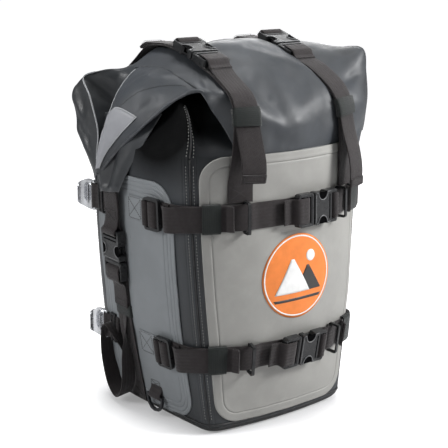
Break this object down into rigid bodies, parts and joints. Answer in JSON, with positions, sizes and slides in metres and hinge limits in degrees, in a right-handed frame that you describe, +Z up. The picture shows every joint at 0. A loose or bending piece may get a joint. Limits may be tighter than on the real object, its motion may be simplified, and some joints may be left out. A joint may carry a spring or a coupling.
{
  "type": "motorcycle saddlebag",
  "caption": "Soft waterproof motorcycle pannier: tapered welded body, rolled top with folded ends, webbing straps with side-release buckles, rack hooks and a carry handle.",
  "frame": {"origin": "centre of the flat underside", "axes": "+Z up, -Y the outward face of the bag, +Y towards the motorcycle, +X to the right seen from outside"},
  "size_m": [0.3913, 0.3393, 0.5625],
  "materials": {
    "coated_fabric": "satin",
    "overlay_light": "satin",
    "overlay_side": "satin",
    "overlay_rear": "satin",
    "webbing": "matte",
    "buckle_plastic": "satin",
    "polished_aluminium": "polished",
    "ring_steel": "satin",
    "stiffener_board": "matte",
    "base_rubber": "matte",
    "handle_rubber": "matte"
  },
  "bodies": {
    "bag": {"shell": "coated_fabric", "base_panel": "base_rubber", "back_board": "stiffener_board", "front_panel": "overlay_light", "left_panel": "overlay_side", "right_panel": "overlay_side", "rear_panel": "overlay_rear", "collar": "coated_fabric", "roll_top": "coated_fabric", "roll_stiffener": "stiffener_board", "ear_left": "coated_fabric", "ear_right": "coated_fabric", "comp_strap_left_upper": "webbing", "comp_strap_right_upper": "webbing", "comp_socket_upper": "buckle_plastic", "comp_loop_left_upper": "buckle_plastic", "ladder_left_upper": "buckle_plastic", "hook_strap_left_upper": "webbing", "comp_loop_right_upper": "buckle_plastic", "ladder_right_upper": "buckle_plastic", "hook_strap_right_upper": "webbing", "comp_strap_left_lower": "webbing", "comp_strap_right_lower": "webbing", "comp_socket_lower": "buckle_plastic", "comp_loop_left_lower": "buckle_plastic", "ladder_left_lower": "buckle_plastic", "hook_strap_left_lower": "webbing", "comp_loop_right_lower": "buckle_plastic", "ladder_right_lower": "buckle_plastic", "hook_strap_right_lower": "webbing", "top_socket_left": "buckle_plastic", "top_strap_front_left": "webbing", "top_strap_rear_left": "webbing", "side_socket_left": "buckle_plastic", "side_strap_left": "webbing", "top_socket_right": "buckle_plastic", "top_strap_front_right": "webbing", "top_strap_rear_right": "webbing", "side_socket_right": "buckle_plastic", "side_strap_right": "webbing", "rub_pad": "base_rubber", "harness_strap": "webbing", "cam_buckle": "polished_aluminium"},
    "comp_plug_upper": {"comp_plug_upper": "buckle_plastic"},
    "comp_plug_lower": {"comp_plug_lower": "buckle_plastic"},
    "top_plug_left": {"top_plug_left": "buckle_plastic"},
    "top_plug_right": {"top_plug_right": "buckle_plastic"},
    "side_plug_left": {"side_plug_left": "buckle_plastic"},
    "side_plug_right": {"side_plug_right": "buckle_plastic"},
    "hook_left_upper": {"hook_left_upper": "polished_aluminium"},
    "hook_left_lower": {"hook_left_lower": "polished_aluminium"},
    "hook_right_upper": {"hook_right_upper": "polished_aluminium"},
    "hook_right_lower": {"hook_right_lower": "polished_aluminium"},
    "side_dring_left": {"side_dring_left": "ring_steel"},
    "rear_dring_left": {"rear_dring_left": "ring_steel"},
    "side_dring_right": {"side_dring_right": "ring_steel"},
    "rear_dring_right": {"rear_dring_right": "ring_steel"},
    "carry_handle": {"carry_handle": "handle_rubber"},
    "cam_lever": {"cam_lever": "polished_aluminium"},
    "harness_glide": {"harness_glide": "buckle_plastic"}
  },
  "joints": [
    {"name": "comp_release_upper", "type": "slide", "parent": "bag", "child": "comp_plug_upper", "axis": [-0.9961, -0.0878, 0], "range_m": [0, 0.024]},
    {"name": "comp_release_lower", "type": "slide", "parent": "bag", "child": "comp_plug_lower", "axis": [-0.9995, -0.0316, 0], "range_m": [0, 0.024]},
    {"name": "top_release_left", "type": "slide", "parent": "bag", "child": "top_plug_left", "axis": [0, -0.9523, -0.3051], "range_m": [0, 0.024]},
    {"name": "top_release_right", "type": "slide", "parent": "bag", "child": "top_plug_right", "axis": [0, -0.9523, -0.3051], "range_m": [0, 0.024]},
    {"name": "side_release_left", "type": "slide", "parent": "bag", "child": "side_plug_left", "axis": [0.0682, 0, -0.9977], "range_m": [0, 0.024]},
    {"name": "side_release_right", "type": "slide", "parent": "bag", "child": "side_plug_right", "axis": [-0.0682, 0, -0.9977], "range_m": [0, 0.024]},
    {"name": "hook_swing_left_upper", "type": "hinge", "parent": "bag", "child": "hook_left_upper", "pos_m": [-0.1712, 0.093, 0.324], "axis": [0, 0, 1], "range_deg": [0, 75]},
    {"name": "hook_swing_left_lower", "type": "hinge", "parent": "bag", "child": "hook_left_lower", "pos_m": [-0.15508, 0.093, 0.118], "axis": [0, 0, 1], "range_deg": [0, 75]},
    {"name": "hook_swing_right_upper", "type": "hinge", "parent": "bag", "child": "hook_right_upper", "pos_m": [0.1712, 0.093, 0.324], "axis": [0, 0, -1], "range_deg": [0, 75]},
    {"name": "hook_swing_right_lower", "type": "hinge", "parent": "bag", "child": "hook_right_lower", "pos_m": [0.15508, 0.093, 0.118], "axis": [0, 0, -1], "range_deg": [0, 75]},
    {"name": "side_dring_lift_left", "type": "hinge", "parent": "bag", "child": "side_dring_left", "pos_m": [-0.14417, -0.018, 0.03], "axis": [0, 1, 0], "range_deg": [0, 90]},
    {"name": "rear_dring_lift_left", "type": "hinge", "parent": "bag", "child": "rear_dring_left", "pos_m": [-0.095, 0.13862, 0.339], "axis": [1, 0, 0], "range_deg": [0, 95]},
    {"name": "side_dring_lift_right", "type": "hinge", "parent": "bag", "child": "side_dring_right", "pos_m": [0.14417, -0.018, 0.03], "axis": [0, -1, 0], "range_deg": [0, 90]},
    {"name": "rear_dring_lift_right", "type": "hinge", "parent": "bag", "child": "rear_dring_right", "pos_m": [0.098, 0.13851, 0.339], "axis": [1, 0, 0], "range_deg": [0, 95]},
    {"name": "handle_lift", "type": "hinge", "parent": "bag", "child": "carry_handle", "pos_m": [0, 0.1433, 0.34], "axis": [1, 0, 0], "range_deg": [0, 95]},
    {"name": "cam_lever_open", "type": "hinge", "parent": "bag", "child": "cam_lever", "pos_m": [0, 0.14543, 0.251], "axis": [-1, 0, 0], "range_deg": [0, 105]},
    {"name": "glide_slide", "type": "slide", "parent": "bag", "child": "harness_glide", "axis": [0, -0.0147, 0.9999], "range_m": [-0.02, 0.03]}
  ]
}
